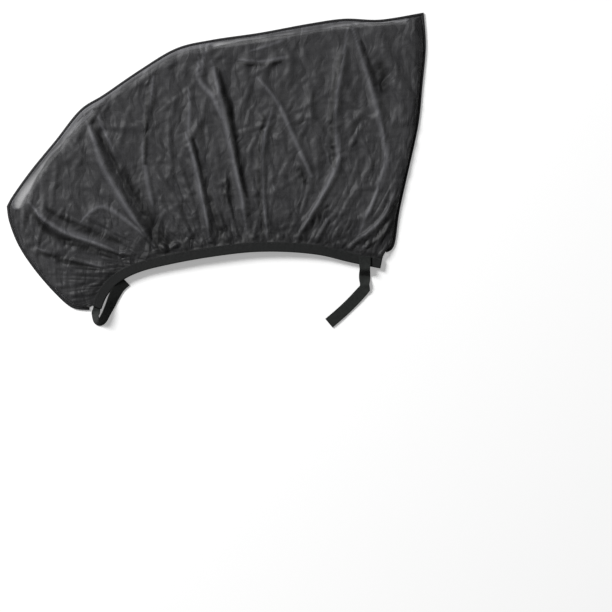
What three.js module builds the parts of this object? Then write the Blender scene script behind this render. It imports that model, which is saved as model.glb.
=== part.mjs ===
// Car side window sunshade: a slip-on sock of black see-through mesh for the frame of a car's side door.
// Two mesh panels are sewn together along the left side, the top and the right side. Their lower edges are
// gathered into elastic bands, and the mouth between the bands is pulled down over the door's window frame.
// A tie at each end of the mouth holds it there.
// The shade lies flat, front up: +X to its right, +Y up the window, +Z out of its front, z = 0 under it.

import * as THREE from "three";

// Driving sizes in millimetres
const PANEL_WIDTH = 731;
const PANEL_HEIGHT = 518;
const MESH_THICKNESS = 0.6;
const RIM_WIDTH = 4.5;
const RIM_WALL = 0.5;
const ELASTIC_WIDTH = 16.5;
const ELASTIC_WALL = 0.8;
const STRAP_WIDTH = 20;
const STRAP_THICKNESS = 1.5;
const RIGHT_STRAP_DROP = 49;
const RIGHT_STRAP_TAIL = 87;
const MOUTH_LIFT = 6;
const RIM_SLOPE = 60;
const GATHER_HEIGHT = 5;
const BACK_GATHER_HEIGHT = 1.2;
const GATHER_REACH = 95;
const PLEAT_START = 6;
const FOLD_START = 18;
const HEM_FLAT = 30;
const CLEARANCE = 0.3;

// Angles in degrees
const RIGHT_STRAP_TURN = 46;
const LEFT_STRAP_TILT = 52;

// Places along the bands, as shares of their length, and how far the left tie is pinched where it is sewn in
const RIGHT_STRAP_PLACE = 0.946;
const LEFT_STRAP_PINCH = 0.65;

// Counts: three mesh columns to a pleat, and two to a step of the rim
const PLEATS = 38;
const RIM_STEPS = { left: 12, top: 33, right: 12 };
const BACK_COLUMNS = RIM_STEPS.left + RIM_STEPS.top + RIM_STEPS.right;
const FRONT_ROWS = 13;
const BACK_ROWS = 5;
const STRAP_STEPS = 26;

// Rows of mesh lie closer at the band than at the rim
const ROW_SPREAD = 1.3;

// Stack of the layers, from the ground up
const RIM_BACK_LEVEL = RIM_WALL + CLEARANCE;
const RIM_FRONT_LEVEL = RIM_BACK_LEVEL + MESH_THICKNESS + CLEARANCE;
const RIM_HEIGHT = RIM_FRONT_LEVEL + MESH_THICKNESS + CLEARANCE + RIM_WALL;
const BAND_SLOT_LEVEL = ELASTIC_WALL + CLEARANCE;
const BAND_HEIGHT = 2 * BAND_SLOT_LEVEL + MESH_THICKNESS;
const TIE_LEVEL = BAND_HEIGHT + CLEARANCE;
const FRONT_BAND_LEVEL = TIE_LEVEL + STRAP_THICKNESS + CLEARANCE;

// Outlines, as shares of the panel's width and height from its lower left corner
const LEFT_SIDE = [
  [0.196, 0.002], [0.156, 0.01], [0.117, 0.056], [0.067, 0.137], [0.029, 0.218], [0.007, 0.296], [0.001, 0.348],
];
const TOP_SIDE = [
  [0.001, 0.348], [0.017, 0.387], [0.06, 0.471], [0.117, 0.569], [0.175, 0.671], [0.232, 0.723],
  [0.318, 0.806], [0.404, 0.878], [0.49, 0.907], [0.605, 0.931], [0.72, 0.961], [0.806, 0.978],
  [0.892, 0.975], [0.993, 0.998],
];
const RIGHT_SIDE = [
  [0.993, 0.998], [0.998, 0.887], [0.99, 0.758], [0.98, 0.623], [0.955, 0.461], [0.935, 0.333],
  [0.923, 0.221], [0.905, 0.196],
];
const MOUTH = [
  [0.214, 0.007], [0.23, 0.057], [0.263, 0.106], [0.318, 0.144], [0.404, 0.173], [0.49, 0.194],
  [0.581, 0.209], [0.667, 0.21], [0.749, 0.199], [0.821, 0.175], [0.894, 0.154],
];

// Loose folds of the front panel: a ridge line, its height and its half width in millimetres
const FOLDS = [
  { height: 15, reach: 11, line: [[0.053, 0.363], [0.091, 0.302], [0.163, 0.245], [0.309, 0.177]] },
  { height: 7, reach: 9, line: [[0.079, 0.208], [0.132, 0.177], [0.194, 0.157], [0.251, 0.137]] },
  { height: 8, reach: 9, line: [[0.175, 0.285], [0.203, 0.326], [0.242, 0.34], [0.328, 0.248]] },
  { height: 16, reach: 11, line: [[0.189, 0.647], [0.215, 0.549], [0.258, 0.41], [0.352, 0.211]] },
  { height: 9, reach: 9, line: [[0.222, 0.644], [0.265, 0.508], [0.308, 0.373], [0.346, 0.292]] },
  { height: 8, reach: 9, line: [[0.354, 0.782], [0.342, 0.671], [0.33, 0.502], [0.361, 0.265]] },
  { height: 14, reach: 10, line: [[0.428, 0.593], [0.445, 0.512], [0.464, 0.407], [0.486, 0.231]] },
  { height: 9, reach: 9, line: [[0.452, 0.569], [0.474, 0.468], [0.498, 0.367], [0.524, 0.238]] },
  { height: 9, reach: 9, line: [[0.459, 0.846], [0.459, 0.772], [0.495, 0.708], [0.514, 0.644]] },
  { height: 15, reach: 11, line: [[0.49, 0.833], [0.529, 0.596], [0.565, 0.36], [0.572, 0.258]] },
  { height: 9, reach: 9, line: [[0.634, 0.677], [0.615, 0.569], [0.61, 0.468], [0.622, 0.238]] },
  { height: 8, reach: 12, line: [[0.598, 0.779], [0.644, 0.701], [0.682, 0.59], [0.727, 0.448]] },
  { height: 13, reach: 15, line: [[0.813, 0.941], [0.78, 0.637], [0.789, 0.485], [0.691, 0.235]] },
  { height: 12, reach: 15, line: [[0.825, 0.941], [0.883, 0.664], [0.9, 0.485], [0.837, 0.248]] },
  { height: 6, reach: 9, line: [[0.77, 0.312], [0.749, 0.258], [0.732, 0.221]] },
  { height: 10, reach: 9, line: [[0.921, 0.4], [0.895, 0.302], [0.818, 0.211]] },
];

// Left tie: its middle line from the end of the band, in millimetres, down and back up beside the mouth
const LEFT_STRAP_LINE = [
  [1.8, 6], [-0.4, -3.5], [-2.2, -13], [0, -22.5], [5, -25.5], [11, -21.5],
  [17.5, -9.5], [24.5, 5.5], [31, 21], [39.5, 35], [51, 46],
];

const place = ([x, y]) => new THREE.Vector2(x * PANEL_WIDTH, y * PANEL_HEIGHT);
const curve = (shares) => new THREE.SplineCurve(shares.map(place));
const ramp = (distance, reach) => THREE.MathUtils.smoothstep(distance, 0, reach);
const lift = (share) => MOUTH_LIFT * Math.sin(Math.PI * share);
const gathering = (fromBand) => Math.max(0, 1 - fromBand / GATHER_REACH) ** 2;

// A line of points moved to the right of its travel by one distance, or by one for each point, with mitres
function offset(points, distances) {
  const last = points.length - 1;
  return points.map((point, i) => {
    const arriving = points[Math.max(i, 1)].clone().sub(points[Math.max(i, 1) - 1]).normalize();
    const leaving = points[Math.min(i, last - 1) + 1].clone().sub(points[Math.min(i, last - 1)]).normalize();
    const heading = arriving.clone().add(leaving).normalize();
    const distance = Array.isArray(distances) ? distances[i] : distances;
    const reach = distance / Math.max(heading.dot(arriving), 0.5);
    return new THREE.Vector2(point.x + heading.y * reach, point.y - heading.x * reach);
  });
}

// The point at a share of a line's steps
function along(points, share) {
  const steps = points.length - 1;
  const step = Math.min(Math.floor(share * steps), steps - 1);
  return points[step].clone().lerp(points[step + 1], share * steps - step);
}

// How near a line passes to a point, and at what share of its steps
function nearest(points, point) {
  let best = { gap: Infinity, share: 0 };
  for (let i = 1; i < points.length; i++) {
    const run = points[i].clone().sub(points[i - 1]);
    const part = THREE.MathUtils.clamp(point.clone().sub(points[i - 1]).dot(run) / run.lengthSq(), 0, 1);
    const gap = points[i - 1].clone().addScaledVector(run, part).distanceTo(point);
    if (gap < best.gap) best = { gap, share: (i - 1 + part) / (points.length - 1) };
  }
  return best;
}

// A closed body from the points of its one face and those of its other face, as equal grids
function cloth(face, back) {
  const rows = face.length;
  const columns = face[0].length;
  const corner = (side, i, j) => (side * rows + i) * columns + j;
  const index = [];
  const quad = (a, b, c, d) => index.push(a, b, c, a, c, d);
  for (let i = 1; i < rows; i++) {
    for (let j = 1; j < columns; j++) {
      quad(corner(0, i - 1, j - 1), corner(0, i, j - 1), corner(0, i, j), corner(0, i - 1, j));
      quad(corner(1, i - 1, j - 1), corner(1, i - 1, j), corner(1, i, j), corner(1, i, j - 1));
    }
    quad(corner(1, i - 1, 0), corner(1, i, 0), corner(0, i, 0), corner(0, i - 1, 0));
    const j = columns - 1;
    quad(corner(1, i, j), corner(1, i - 1, j), corner(0, i - 1, j), corner(0, i, j));
  }
  for (let j = 1; j < columns; j++) {
    const i = rows - 1;
    quad(corner(1, 0, j), corner(1, 0, j - 1), corner(0, 0, j - 1), corner(0, 0, j));
    quad(corner(1, i, j - 1), corner(1, i, j), corner(0, i, j), corner(0, i, j - 1));
  }
  const points = [...face.flat(), ...back.flat()];
  let volume = 0;
  for (let k = 0; k < index.length; k += 3) {
    const [a, b, c] = [points[index[k]], points[index[k + 1]], points[index[k + 2]]];
    volume += a.dot(b.clone().cross(c));
  }
  const geometry = new THREE.BufferGeometry().setFromPoints(points);
  geometry.setIndex(volume < 0 ? index.reverse() : index);
  geometry.computeVertexNormals();
  return geometry;
}

// A folded binding along a line, open towards the panel; side is 1 where the panel lies to the right of travel
function binding(line, side, width, wall, height, levels) {
  const edges = [width / 2, -width / 2, -width / 2, width / 2];
  const inside = [width / 2, wall - width / 2, wall - width / 2, width / 2];
  const face = edges.map((edge) => offset(line, side * edge));
  const lining = inside.map((edge) => offset(line, side * edge));
  const outer = [0, 0, height, height];
  const inner = [wall, wall, height - wall, height - wall];
  const rows = (lines, heights) => line.map((_, i) =>
    lines.map((points, j) => new THREE.Vector3(points[i].x, points[i].y, levels[i] + heights[j])));
  return cloth(rows(face, outer), rows(lining, inner));
}

// A flat tie along a line, with its width, its turn onto its edge and the height of its middle at each point
function tie(line, widths, tilts, levels) {
  const edge = (side) => offset(line, widths.map((width, i) => side * width / 2 * Math.cos(tilts[i])));
  const edges = [edge(-1), edge(1)];
  const face = (surface) => line.map((point, i) => edges.map((points, j) => {
    const outward = points[i].clone().sub(point).normalize();
    const lean = (j === 0 ? 1 : -1) * Math.sin(tilts[i]);
    const shift = -surface * STRAP_THICKNESS / 2 * lean;
    const rise = lean * widths[i] / 2 + surface * STRAP_THICKNESS / 2 * Math.cos(tilts[i]);
    return new THREE.Vector3(points[i].x + outward.x * shift, points[i].y + outward.y * shift, levels[i] + rise);
  }));
  return cloth(face(1), face(-1));
}

const rimLine = [
  ...curve(LEFT_SIDE).getSpacedPoints(RIM_STEPS.left),
  ...curve(TOP_SIDE).getSpacedPoints(RIM_STEPS.top).slice(1),
  ...curve(RIGHT_SIDE).getSpacedPoints(RIM_STEPS.right).slice(1),
];
const mouthLine = curve(MOUTH).getSpacedPoints(PLEATS);
const mouthLength = curve(MOUTH).getLength();

// Lines that a panel's mesh follows: deep in the band, just out of it, just out of the rim, deep in the rim
const bandGrip = offset(mouthLine, ELASTIC_WIDTH / 2 - ELASTIC_WALL - CLEARANCE);
const bandExit = offset(mouthLine, -ELASTIC_WIDTH / 2 - CLEARANCE);
const rimExit = offset(rimLine, RIM_WIDTH / 2 + CLEARANCE);
const rimGrip = offset(rimLine, RIM_WALL + CLEARANCE - RIM_WIDTH / 2);

const foldLines = FOLDS.map((fold) => ({ ...fold, points: curve(fold.line).getSpacedPoints(12) }));

// Height that the loose folds give the front panel at a point
function foldHeight(point) {
  let squares = 0;
  for (const { points, height, reach } of foldLines) {
    const { gap, share } = nearest(points, point);
    const taper = Math.min(1, 5 * share + 0.1, 6 * (1 - share) + 0.3);
    squares += (height * taper * Math.exp(-((gap / reach) ** 2))) ** 2;
  }
  return Math.sqrt(squares);
}

// A pleat rises over three columns, each pleat by its own amount
function pleatHeight(column) {
  const pleat = Math.floor(column / 3);
  return [0, 1, 0.5][column % 3] * (0.65 + 0.35 * Math.sin(2.4 * pleat));
}

// A panel from the levels of its underside, with its mesh held flat in the band and in the rim
function panel(columns, rows, bandLevel, rimLevel, freeLevel) {
  const under = [];
  for (let column = 0; column <= columns; column++) {
    const share = column / columns;
    const start = along(bandExit, share);
    const end = along(rimExit, share);
    const held = (line, level) => new THREE.Vector3(...along(line, share), level);
    const strip = [held(bandGrip, bandLevel(share)), held(bandExit, bandLevel(share))];
    for (let row = 1; row < rows; row++) {
      const point = start.clone().lerp(end, (row / rows) ** ROW_SPREAD);
      const fromBand = Math.max(0, nearest(mouthLine, point).gap - ELASTIC_WIDTH / 2 - CLEARANCE);
      const fromRim = Math.max(0, nearest(rimLine, point).gap - RIM_WIDTH / 2 - CLEARANCE);
      const level = freeLevel(point, share, column, fromBand, fromRim);
      strip.push(new THREE.Vector3(point.x, point.y, level));
    }
    strip.push(held(rimExit, rimLevel), held(rimGrip, rimLevel));
    under.push(strip);
  }
  const top = under.map((strip) => strip.map((point) => point.clone().setZ(point.z + MESH_THICKNESS)));
  return cloth(top, under);
}

function frontPanel() {
  const bandLevel = (share) => FRONT_BAND_LEVEL + lift(share) + BAND_SLOT_LEVEL;
  return panel(3 * PLEATS, FRONT_ROWS, bandLevel, RIM_FRONT_LEVEL, (point, share, column, fromBand, fromRim) => {
    const rise = ramp(fromRim, Math.min(RIM_SLOPE, fromBand + fromRim));
    const level = THREE.MathUtils.lerp(RIM_FRONT_LEVEL, bandLevel(share), rise);
    const gather = GATHER_HEIGHT * pleatHeight(column) * gathering(fromBand);
    const fold = foldHeight(point) * ramp(fromBand, FOLD_START);
    return level + (gather * ramp(fromBand, PLEAT_START) + fold) * ramp(fromRim, HEM_FLAT);
  });
}

function backPanel() {
  const bandLevel = () => BAND_SLOT_LEVEL;
  return panel(BACK_COLUMNS, BACK_ROWS, bandLevel, RIM_BACK_LEVEL, (point, share, column, fromBand, fromRim) => {
    const span = Math.min(RIM_SLOPE, fromBand + fromRim) / 2;
    const level = BAND_SLOT_LEVEL * (1 - ramp(fromBand, span)) + RIM_BACK_LEVEL * (1 - ramp(fromRim, span));
    const gather = BACK_GATHER_HEIGHT * (column % 2) * gathering(fromBand);
    return level + gather * ramp(fromRim, HEM_FLAT);
  });
}

function rimSeam() {
  return binding(rimLine, 1, RIM_WIDTH, RIM_WALL, RIM_HEIGHT, rimLine.map(() => 0));
}

function elastic(level, rise) {
  const levels = mouthLine.map((_, i) => level + rise(i / PLEATS));
  return binding(mouthLine, -1, ELASTIC_WIDTH, ELASTIC_WALL, BAND_HEIGHT, levels);
}

// The right tie is sewn on the front band, drops off its edge to the ground and turns to the left
function strapRight() {
  const seat = along(mouthLine, RIGHT_STRAP_PLACE);
  const sideShare = RIGHT_STRAP_PLACE - STRAP_WIDTH / 2 / mouthLength;
  const seatLevel = FRONT_BAND_LEVEL + BAND_HEIGHT + lift(sideShare) + CLEARANCE + STRAP_THICKNESS / 2;
  const turn = THREE.MathUtils.degToRad(RIGHT_STRAP_TURN);
  const leave = ELASTIC_WIDTH / 2 + STRAP_WIDTH / 4;
  const landing = leave + 0.4 * (RIGHT_STRAP_DROP - leave);
  const corner = new THREE.Vector2(seat.x, seat.y - RIGHT_STRAP_DROP);
  const reach = new THREE.Vector2(-Math.sin(turn), -Math.cos(turn));
  const line = [];
  const levels = [];
  const ground = STRAP_THICKNESS / 2;
  for (const part of [0, 0.5, 1]) {
    line.push(new THREE.Vector2(seat.x, THREE.MathUtils.lerp(seat.y + 0.42 * ELASTIC_WIDTH, seat.y - leave, part)));
    levels.push(seatLevel);
  }
  for (const part of [0.2, 0.4, 0.6, 0.8, 1]) {
    line.push(new THREE.Vector2(seat.x, seat.y - THREE.MathUtils.lerp(leave, landing, part)));
    levels.push(THREE.MathUtils.lerp(seatLevel, ground, ramp(part, 1)));
  }
  for (const part of [0.4, 0.8, 1]) {
    line.push(new THREE.Vector2(seat.x, seat.y - THREE.MathUtils.lerp(landing, RIGHT_STRAP_DROP, part)));
    levels.push(ground);
  }
  for (const part of [0.2, 0.4, 0.6, 0.8, 1]) {
    line.push(corner.clone().addScaledVector(reach, part * RIGHT_STRAP_TAIL));
    levels.push(ground);
  }
  return tie(line, line.map(() => STRAP_WIDTH), line.map(() => 0), levels);
}

// The left tie is sewn between the bands, turns onto its edge and doubles back beside the mouth
function strapLeft() {
  const end = mouthLine[0];
  const route = new THREE.SplineCurve(LEFT_STRAP_LINE.map(([x, y]) => new THREE.Vector2(end.x + x, end.y + y)));
  const line = route.getSpacedPoints(STRAP_STEPS);
  const length = route.getLength();
  const widths = [];
  const tilts = [];
  const levels = [];
  line.forEach((_, i) => {
    const distance = length * i / STRAP_STEPS;
    const open = ramp(distance - ELASTIC_WIDTH / 2, STRAP_WIDTH * 0.7);
    const width = STRAP_WIDTH * THREE.MathUtils.lerp(LEFT_STRAP_PINCH, 1, open);
    const tilt = THREE.MathUtils.degToRad(LEFT_STRAP_TILT) * open;
    const standing = (width * Math.sin(tilt) + STRAP_THICKNESS * Math.cos(tilt)) / 2;
    widths.push(width);
    tilts.push(tilt);
    levels.push(Math.max(standing, THREE.MathUtils.lerp(TIE_LEVEL + STRAP_THICKNESS / 2, standing, open)));
  });
  return tie(line, widths, tilts, levels);
}

const MESH_CLOTH = { color: 0x3a3a3c, roughness: 0.8, metalness: 0 };
const ELASTIC_WEB = { color: 0x1f2020, roughness: 0.9, metalness: 0 };
const THREAD = { color: 0x1a1a1b, roughness: 0.9, metalness: 0 };
const HOOK_AND_LOOP = { color: 0x232524, roughness: 0.95, metalness: 0 };

const shade = new THREE.Group();

function add(name, geometry, finish) {
  const mesh = new THREE.Mesh(geometry, new THREE.MeshStandardMaterial(finish));
  mesh.name = name;
  shade.add(mesh);
}

add("front_panel", frontPanel(), MESH_CLOTH);
add("back_panel", backPanel(), MESH_CLOTH);
add("rim_seam", rimSeam(), THREAD);
add("front_elastic", elastic(FRONT_BAND_LEVEL, lift), ELASTIC_WEB);
add("back_elastic", elastic(0, () => 0), ELASTIC_WEB);
add("strap_left", strapLeft(), HOOK_AND_LOOP);
add("strap_right", strapRight(), HOOK_AND_LOOP);

// The origin is on the ground under the middle of the whole shade
const bounds = new THREE.Box3().setFromObject(shade, true);
const middle = bounds.getCenter(new THREE.Vector3());
shade.position.set(-middle.x, -middle.y, -bounds.min.z);

export default shade;
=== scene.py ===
# A slip-on shade for a car's side window, laid flat on a white board: two panels of black see-through mesh
# sewn together round a curved rim, gathered into elastic bands at the mouth, with a tie at each end of it.
# Metres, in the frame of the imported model: +X to the shade's right, +Y up the window, +Z out of its front.

import math

import bpy
import numpy as np
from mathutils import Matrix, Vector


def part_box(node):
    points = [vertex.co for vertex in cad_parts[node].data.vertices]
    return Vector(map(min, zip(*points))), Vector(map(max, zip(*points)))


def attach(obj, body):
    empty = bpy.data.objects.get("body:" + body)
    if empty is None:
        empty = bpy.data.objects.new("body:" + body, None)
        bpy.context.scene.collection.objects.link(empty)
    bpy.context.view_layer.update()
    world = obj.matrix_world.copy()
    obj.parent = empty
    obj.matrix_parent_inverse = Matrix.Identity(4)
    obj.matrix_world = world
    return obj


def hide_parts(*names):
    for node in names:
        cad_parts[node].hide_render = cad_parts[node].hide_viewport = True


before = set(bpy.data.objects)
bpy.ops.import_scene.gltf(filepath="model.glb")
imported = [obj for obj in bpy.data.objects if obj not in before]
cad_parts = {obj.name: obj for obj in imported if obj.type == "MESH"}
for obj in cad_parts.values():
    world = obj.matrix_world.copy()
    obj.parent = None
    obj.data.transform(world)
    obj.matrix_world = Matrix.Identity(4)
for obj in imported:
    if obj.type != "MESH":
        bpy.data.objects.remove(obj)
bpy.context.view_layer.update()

MM = 0.001
PANEL = np.array([0.731, 0.518])
MESH_THICKNESS = 0.6 * MM
CLEARANCE = 0.3 * MM
RIM_WIDTH = 4.5 * MM
RIM_WALL = 0.5 * MM
BAND_WIDTH = 16.5 * MM
BAND_WALL = 0.8 * MM
TIE_WIDTH = 20 * MM
TIE_THICKNESS = 1.5 * MM
PLEATS = 38

# Outlines, as shares of the panel's width and height from its lower left corner
LEFT_SIDE = [
    (0.196, 0.002), (0.156, 0.01), (0.117, 0.056), (0.067, 0.137), (0.029, 0.218), (0.007, 0.296),
    (0.001, 0.348),
]
TOP_SIDE = [
    (0.001, 0.348), (0.017, 0.387), (0.06, 0.471), (0.117, 0.569), (0.175, 0.671), (0.232, 0.723),
    (0.318, 0.806), (0.404, 0.878), (0.49, 0.907), (0.605, 0.931), (0.72, 0.961), (0.806, 0.978),
    (0.892, 0.975), (0.993, 0.998),
]
RIGHT_SIDE = [
    (0.993, 0.998), (0.998, 0.887), (0.99, 0.758), (0.98, 0.623), (0.955, 0.461), (0.935, 0.333),
    (0.923, 0.221), (0.905, 0.196),
]
MOUTH = [
    (0.214, 0.007), (0.23, 0.057), (0.263, 0.106), (0.318, 0.144), (0.404, 0.173), (0.49, 0.194),
    (0.581, 0.209), (0.667, 0.21), (0.749, 0.199), (0.821, 0.175), (0.894, 0.154),
]


def even_points(corners, steps):
    """Points at even spacing along the smooth curve through the corners."""
    corners = np.array(corners, float)
    knots = np.vstack([corners[:1], corners, corners[-1:]])
    fine = []
    for a, b, c, d in zip(knots, knots[1:], knots[2:], knots[3:]):
        for part in np.linspace(0, 1, 40, endpoint=False):
            cubic = 3 * b - a - 3 * c + d
            square = 2 * a - 5 * b + 4 * c - d
            fine.append(b + 0.5 * part * (c - a + part * (square + part * cubic)))
    fine = np.array(fine + [corners[-1]])
    run = np.append(0, np.cumsum(np.linalg.norm(np.diff(fine, axis=0), axis=1)))
    places = np.linspace(0, run[-1], steps + 1)
    return np.column_stack([np.interp(places, run, fine[:, axis]) for axis in range(fine.shape[1])])


def beside(line, distance):
    """The line moved to the right of its travel by a distance, or by one for each point, with mitres."""
    legs = np.diff(line, axis=0)
    legs /= np.linalg.norm(legs, axis=1)[:, None]
    arriving = np.vstack([legs[:1], legs])
    leaving = np.vstack([legs, legs[-1:]])
    heading = arriving + leaving
    heading /= np.linalg.norm(heading, axis=1)[:, None]
    reach = distance / np.maximum((heading * arriving).sum(1), 0.5)
    return line + np.column_stack([heading[:, 1], -heading[:, 0]]) * reach[:, None]


def rim_points(steps):
    """The rim in steps per pleat: the left side, the top and the right side."""
    sides = [(LEFT_SIDE, 8), (TOP_SIDE, 22), (RIGHT_SIDE, 8)]
    lines = [even_points(np.array(side) * PANEL, share * steps) for side, share in sides]
    return np.vstack([lines[0], lines[1][1:], lines[2][1:]])


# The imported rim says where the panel's lower left corner is
rim_low, rim_high = (np.array(corner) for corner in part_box("rim_seam"))
CORNER = rim_high[:2] - beside(rim_points(3), -RIM_WIDTH / 2).max(0)


def placed(shares):
    return np.array(shares) * PANEL + CORNER


def nearest(points, line):
    """How near the line passes to each point, at what share of its steps, and if the point is on its left."""
    best = np.full(len(points), np.inf)
    share = np.zeros(len(points))
    on_left = np.zeros(len(points), bool)
    for i, (start, end) in enumerate(zip(line, line[1:])):
        run = end - start
        away = points - start
        part = np.clip(away @ run / (run @ run), 0, 1)
        gap = np.linalg.norm(away - part[:, None] * run, axis=1)
        closer = gap < best
        best[closer] = gap[closer]
        share[closer] = (i + part[closer]) / (len(line) - 1)
        on_left[closer] = (run[0] * away[:, 1] - run[1] * away[:, 0])[closer] > 0
    return best, share, on_left


def ramp(distance, reach):
    part = np.clip(distance / reach, 0, 1)
    return part * part * (3 - 2 * part)


# Levels of the stacked layers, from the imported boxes
GROUND = 0.0
rim_height = rim_high[2] - rim_low[2]
back_band = [np.array(corner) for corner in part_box("back_elastic")]
front_band = [np.array(corner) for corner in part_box("front_elastic")]
BAND_HEIGHT = back_band[1][2] - back_band[0][2]
FRONT_BAND_LEVEL = front_band[0][2]
MOUTH_LIFT = front_band[1][2] - front_band[0][2] - BAND_HEIGHT
SLOT_LEVEL = BAND_WALL + CLEARANCE
RIM_BACK_LEVEL = RIM_WALL + CLEARANCE
RIM_FRONT_LEVEL = RIM_BACK_LEVEL + MESH_THICKNESS + CLEARANCE


def lift(share):
    return MOUTH_LIFT * np.sin(np.pi * share)


# Camera: straight down on the shade, with the shade in the upper left of a square view, as photographed
VIEW_WIDTH = 1.071
VIEW_CENTRE = (0.1566, -0.2380)
LENS = 100
SENSOR = 36

camera_data = bpy.data.cameras.new("camera")
camera_data.lens = LENS
camera_data.sensor_width = SENSOR
camera = bpy.data.objects.new("camera", camera_data)
camera.location = (*VIEW_CENTRE, VIEW_WIDTH * LENS / SENSOR)
bpy.context.scene.collection.objects.link(camera)
bpy.context.scene.camera = camera


# Tools for making pieces

def grid_piece(name, points, cloth_places):
    """A sheet of quads from rows of points, drawn from a plane grid, with its UV map in metres of cloth."""
    rows, columns = points.shape[:2]
    bpy.ops.object.select_all(action="DESELECT")
    bpy.ops.mesh.primitive_grid_add(x_subdivisions=columns - 1, y_subdivisions=rows - 1, size=1)
    piece = bpy.context.object
    piece.name = name
    piece.data.vertices.foreach_set("co", points.reshape(-1))
    corners = np.empty(len(piece.data.loops), int)
    piece.data.loops.foreach_get("vertex_index", corners)
    piece.data.uv_layers[0].data.foreach_set("uv", cloth_places.reshape(-1, 2)[corners].reshape(-1))
    piece.data.update()
    bpy.ops.object.shade_smooth()
    return piece


def modify(piece, kind, **settings):
    """A modifier added with its settings and applied."""
    bpy.ops.object.select_all(action="DESELECT")
    piece.select_set(True)
    bpy.context.view_layer.objects.active = piece
    modifier = piece.modifiers.new(kind.lower(), kind)
    for name, value in settings.items():
        setattr(modifier, name, value)
    bpy.ops.object.modifier_apply(modifier=modifier.name)


def weigh(piece, name, weights):
    """A vertex group with a weight for each vertex."""
    group = piece.vertex_groups.new(name=name)
    for index, weight in enumerate(weights):
        if weight > 0:
            group.add([index], float(weight), "REPLACE")


def finish_piece(piece, material, slot, *nodes):
    piece.data.materials.clear()
    piece.data.materials.append(material)
    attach(piece, "root")
    if nodes:
        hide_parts(*nodes)


# Panels

# The front panel's loose folds, from rim to mouth: ridge height and half width in millimetres, and the
# ridge line
FOLDS = [
    (15, 9, [(0.053, 0.363), (0.091, 0.302), (0.163, 0.245), (0.309, 0.177)]),
    (7, 7, [(0.079, 0.208), (0.132, 0.177), (0.194, 0.157), (0.251, 0.137)]),
    (8, 7, [(0.175, 0.285), (0.203, 0.326), (0.242, 0.34), (0.328, 0.248)]),
    (16, 9, [(0.189, 0.647), (0.215, 0.549), (0.258, 0.41), (0.352, 0.211)]),
    (9, 7, [(0.222, 0.644), (0.265, 0.508), (0.308, 0.373), (0.346, 0.292)]),
    (8, 7, [(0.354, 0.782), (0.342, 0.671), (0.33, 0.502), (0.361, 0.265)]),
    (14, 8, [(0.428, 0.593), (0.445, 0.512), (0.464, 0.407), (0.486, 0.231)]),
    (9, 7, [(0.452, 0.569), (0.474, 0.468), (0.498, 0.367), (0.524, 0.238)]),
    (9, 7, [(0.459, 0.846), (0.459, 0.772), (0.495, 0.708), (0.514, 0.644)]),
    (15, 9, [(0.49, 0.833), (0.529, 0.596), (0.565, 0.36), (0.572, 0.258)]),
    (9, 7, [(0.634, 0.677), (0.615, 0.569), (0.61, 0.468), (0.622, 0.238)]),
    (8, 7, [(0.598, 0.779), (0.644, 0.701), (0.682, 0.59), (0.727, 0.448)]),
    (13, 9, [(0.813, 0.941), (0.78, 0.637), (0.789, 0.485), (0.691, 0.235)]),
    (12, 9, [(0.825, 0.941), (0.883, 0.664), (0.9, 0.485), (0.837, 0.248)]),
    (6, 7, [(0.77, 0.312), (0.749, 0.258), (0.732, 0.221)]),
    (10, 7, [(0.921, 0.4), (0.895, 0.302), (0.818, 0.211)]),
    (8, 6, [(0.921, 0.316), (0.897, 0.248), (0.844, 0.201)]),
    (6, 5, [(0.478, 0.88), (0.467, 0.82), (0.462, 0.772)]),
    (5, 5, [(0.435, 0.74), (0.438, 0.67), (0.435, 0.6)]),
    (5, 6, [(0.553, 0.836), (0.61, 0.832), (0.663, 0.843)]),
    (5, 6, [(0.581, 0.863), (0.63, 0.885), (0.672, 0.907)]),
]
GATHER_REACH = 95 * MM

# Painted shade along the valleys beside the folds, made denser and darker in the cover map: middle lines,
# and half widths in millimetres
PAINTED_SHADE_VALLEYS = [
    ([(0.208, 0.63), (0.275, 0.458), (0.325, 0.34), (0.37, 0.225)], (3, 6, 9, 13)),
    ([(0.062, 0.325), (0.103, 0.262), (0.175, 0.215), (0.246, 0.184)], (3, 5, 5, 4)),
    ([(0.098, 0.335), (0.146, 0.298), (0.198, 0.262), (0.27, 0.228)], (3, 4, 4, 3)),
    ([(0.088, 0.191), (0.153, 0.164), (0.213, 0.134)], (3, 5, 3)),
    ([(0.442, 0.579), (0.469, 0.47), (0.49, 0.353), (0.514, 0.248)], (2, 4, 6, 8)),
    ([(0.504, 0.809), (0.524, 0.721), (0.543, 0.617), (0.56, 0.48), (0.574, 0.38)], (2, 4, 4, 5, 2)),
    ([(0.527, 0.43), (0.528, 0.37)], (6, 7)),
    ([(0.615, 0.65), (0.604, 0.53), (0.605, 0.38), (0.612, 0.25)], (2, 3, 3, 2)),
    ([(0.797, 0.85), (0.778, 0.72), (0.776, 0.6), (0.782, 0.48)], (2, 3, 3, 2)),
    ([(0.891, 0.82), (0.896, 0.74)], (7, 6)),
    ([(0.845, 0.9), (0.864, 0.83), (0.88, 0.76)], (2, 3, 4)),
    ([(0.925, 0.36), (0.911, 0.28), (0.872, 0.22)], (6, 10, 6)),
    ([(0.765, 0.345), (0.73, 0.29), (0.703, 0.24)], (3, 5, 3)),
    ([(0.7, 0.47), (0.712, 0.43)], (5, 4)),
    ([(0.34, 0.72), (0.336, 0.6), (0.333, 0.49)], (2, 3, 2)),
    ([(0.557, 0.822), (0.61, 0.818), (0.655, 0.83)], (2, 2, 2)),
]

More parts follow.
